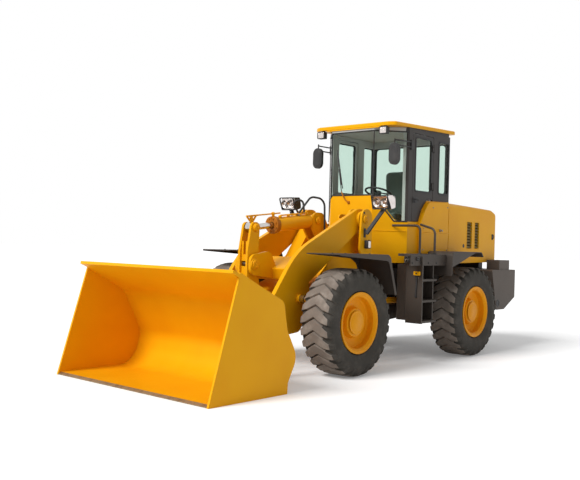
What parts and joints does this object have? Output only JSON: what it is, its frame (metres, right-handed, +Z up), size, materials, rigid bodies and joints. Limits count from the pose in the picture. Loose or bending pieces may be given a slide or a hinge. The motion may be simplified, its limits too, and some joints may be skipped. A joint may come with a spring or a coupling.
{
  "type": "wheel loader",
  "caption": "articulated wheel loader with a bucket on lift arms, glazed cab, engine hood and four large lugged tyres, yellow paint",
  "frame": {"origin": "middle of the length and width, on the ground under the machine", "axes": "+X forward towards the bucket, +Y to the operator's left, +Z up"},
  "size_m": [6.88, 2.507, 3.2881],
  "materials": {
    "yellow_paint": "semi-gloss",
    "cab_paint": "satin",
    "dark_paint": "satin",
    "rim_paint": "semi-gloss",
    "cylinder_paint": "semi-gloss",
    "chrome_rod": "polished",
    "pin_steel": "machined",
    "edge_steel": "worn",
    "tyre_rubber": "matte",
    "hose_rubber": "matte",
    "cab_glass": "clear",
    "lamp_lens": "clear",
    "seat_fabric": "woven"
  },
  "bodies": {
    "rear_frame": {"rear_frame": "dark_paint", "hitch_pins": "pin_steel", "rear_axle": "dark_paint", "engine_and_gearbox": "dark_paint", "radiator": "dark_paint", "side_boxes": "yellow_paint", "counterweight": "dark_paint", "tail_boxes": "dark_paint", "walkways": "dark_paint", "side_tanks": "dark_paint", "rear_fenders": "dark_paint", "handrails": "dark_paint", "cab_body": "yellow_paint", "cab_frame": "cab_paint", "cab_roof": "yellow_paint", "cab_glass": "cab_glass", "seat": "seat_fabric", "seat_stand": "dark_paint", "cab_controls": "dark_paint", "mirrors": "dark_paint", "roof_lamps": "lamp_lens"},
    "front_frame": {"front_frame": "yellow_paint", "front_frame_pins": "pin_steel", "front_axle": "dark_paint", "front_fenders": "dark_paint", "headlamps": "dark_paint", "headlamp_lenses": "lamp_lens"},
    "front_left_wheel": {"front_left_rim": "rim_paint", "front_left_tyre": "tyre_rubber"},
    "front_right_wheel": {"front_right_rim": "rim_paint", "front_right_tyre": "tyre_rubber"},
    "rear_left_wheel": {"rear_left_rim": "rim_paint", "rear_left_tyre": "tyre_rubber"},
    "rear_right_wheel": {"rear_right_rim": "rim_paint", "rear_right_tyre": "tyre_rubber"},
    "lift_arms": {"lift_arms": "yellow_paint", "arm_cross_beam": "yellow_paint", "arm_pins": "pin_steel"},
    "bucket": {"bucket_shell": "yellow_paint", "bucket_sides": "yellow_paint", "cutting_edge": "edge_steel", "bucket_lugs": "yellow_paint", "bucket_pins": "pin_steel"},
    "rocker": {"rocker_lever": "yellow_paint"},
    "bucket_link": {"bucket_link": "yellow_paint"},
    "tilt_barrel": {"tilt_cylinder_barrel": "cylinder_paint", "tilt_hoses": "hose_rubber"},
    "tilt_rod": {"tilt_cylinder_rod": "chrome_rod"},
    "lift_barrels": {"lift_cylinder_barrels": "cylinder_paint"},
    "lift_rods": {"lift_cylinder_rods": "chrome_rod"},
    "steer_left_barrel": {"steer_left_barrel": "cylinder_paint"},
    "steer_right_barrel": {"steer_right_barrel": "cylinder_paint"},
    "steer_left_rod": {"steer_left_rod": "chrome_rod"},
    "steer_right_rod": {"steer_right_rod": "chrome_rod"},
    "left_door": {"left_door": "cab_paint", "left_door_glass": "cab_glass"},
    "right_door": {"right_door": "cab_paint", "right_door_glass": "cab_glass"},
    "engine_hood": {"engine_hood": "yellow_paint"},
    "rear_grille": {"rear_grille": "dark_paint"}
  },
  "joints": [
    {"name": "steer", "type": "hinge", "parent": "rear_frame", "child": "front_frame", "pos_m": [-0.515, 0, 0.875], "axis": [0, 0, 1], "range_deg": [-35, 35]},
    {"name": "front_left_wheel_spin", "type": "hinge", "parent": "front_frame", "child": "front_left_wheel", "pos_m": [0.9, 0.918, 0.64], "axis": [0, 1, 0], "continuous": true},
    {"name": "front_right_wheel_spin", "type": "hinge", "parent": "front_frame", "child": "front_right_wheel", "pos_m": [0.9, -0.918, 0.64], "axis": [0, 1, 0], "continuous": true},
    {"name": "rear_left_wheel_spin", "type": "hinge", "parent": "rear_frame", "child": "rear_left_wheel", "pos_m": [-1.93, 0.918, 0.64], "axis": [0, 1, 0], "continuous": true},
    {"name": "rear_right_wheel_spin", "type": "hinge", "parent": "rear_frame", "child": "rear_right_wheel", "pos_m": [-1.93, -0.918, 0.64], "axis": [0, 1, 0], "continuous": true},
    {"name": "arm_lift", "type": "hinge", "parent": "front_frame", "child": "lift_arms", "pos_m": [0.07, 0, 1.9], "axis": [0, -1, 0], "range_deg": [0, 80]},
    {"name": "bucket_tilt", "type": "hinge", "parent": "lift_arms", "child": "bucket", "pos_m": [2.125, 0, 0.245], "axis": [0, -1, 0], "range_deg": [-125, 45]},
    {"name": "rocker_swing", "type": "hinge", "parent": "lift_arms", "child": "rocker", "pos_m": [1.685, 0, 1.3], "axis": [0, -1, 0], "range_deg": [-23.5, 63.5]},
    {"name": "link_swing", "type": "hinge", "parent": "bucket", "child": "bucket_link", "pos_m": [2.182, 0, 0.575], "axis": [0, -1, 0], "range_deg": [-39.25, 107.25]},
    {"name": "tilt_barrel_swing", "type": "hinge", "parent": "front_frame", "child": "tilt_barrel", "pos_m": [0.47, 0, 1.865], "axis": [0, -1, 0], "range_deg": [-1, 95.4]},
    {"name": "tilt_rod_slide", "type": "slide", "parent": "tilt_barrel", "child": "tilt_rod", "axis": [0.9938, 0, -0.1109], "range_m": [-0.2638, 0.0962]},
    {"name": "lift_barrel_swing", "type": "hinge", "parent": "front_frame", "child": "lift_barrels", "pos_m": [-0.115, 0, 0.85], "axis": [0, -1, 0], "range_deg": [-1, 55.16]},
    {"name": "lift_rod_slide", "type": "slide", "parent": "lift_barrels", "child": "lift_rods", "axis": [0.9994, 0, 0.0359], "range_m": [-0.002, 1.0283]},
    {"name": "steer_left_barrel_swing", "type": "hinge", "parent": "rear_frame", "child": "steer_left_barrel", "pos_m": [-1.135, 0.43, 0.8], "axis": [0, 0, 1], "range_deg": [-9.4, 9.4]},
    {"name": "steer_right_barrel_swing", "type": "hinge", "parent": "rear_frame", "child": "steer_right_barrel", "pos_m": [-1.135, -0.43, 0.8], "axis": [0, 0, 1], "range_deg": [-9.4, 9.4]},
    {"name": "steer_left_rod_slide", "type": "slide", "parent": "steer_left_barrel", "child": "steer_left_rod", "axis": [0.9932, -0.1162, 0], "range_m": [-0.2173, 0.2173]},
    {"name": "steer_right_rod_slide", "type": "slide", "parent": "steer_right_barrel", "child": "steer_right_rod", "axis": [0.9932, 0.1162, 0], "range_m": [-0.2173, 0.2173]},
    {"name": "left_door_swing", "type": "hinge", "parent": "rear_frame", "child": "left_door", "pos_m": [-1.364, 0.702, 2.5], "axis": [0, 0, 1], "range_deg": [0, 95]},
    {"name": "right_door_swing", "type": "hinge", "parent": "rear_frame", "child": "right_door", "pos_m": [-1.364, -0.702, 2.5], "axis": [0, 0, -1], "range_deg": [0, 95]},
    {"name": "hood_lift", "type": "hinge", "parent": "rear_frame", "child": "engine_hood", "pos_m": [-1.855, 0, 2.2], "axis": [0, 1, 0], "range_deg": [0, 50]},
    {"name": "grille_swing", "type": "hinge", "parent": "rear_frame", "child": "rear_grille", "pos_m": [-3.22, 0.7, 1.7], "axis": [0, 0, -1], "range_deg": [0, 100]}
  ],
  "couplings": [
    {"joint": "rocker_swing", "follows": "bucket_tilt", "ratio": -0.5},
    {"joint": "link_swing", "follows": "bucket_tilt", "ratio": -0.85},
    {"joint": "tilt_rod_slide", "follows": "bucket_tilt", "m_per_rad": 0.12},
    {"joint": "tilt_barrel_swing", "follows": "arm_lift", "ratio": 1.18},
    {"joint": "lift_barrel_swing", "follows": "arm_lift", "ratio": 0.677},
    {"joint": "lift_rod_slide", "follows": "arm_lift", "m_per_rad": 0.735},
    {"joint": "steer_left_barrel_swing", "follows": "steer", "ratio": 0.24},
    {"joint": "steer_right_barrel_swing", "follows": "steer", "ratio": 0.24},
    {"joint": "steer_left_rod_slide", "follows": "steer", "m_per_rad": -0.3525},
    {"joint": "steer_right_rod_slide", "follows": "steer", "m_per_rad": 0.3525}
  ]
}
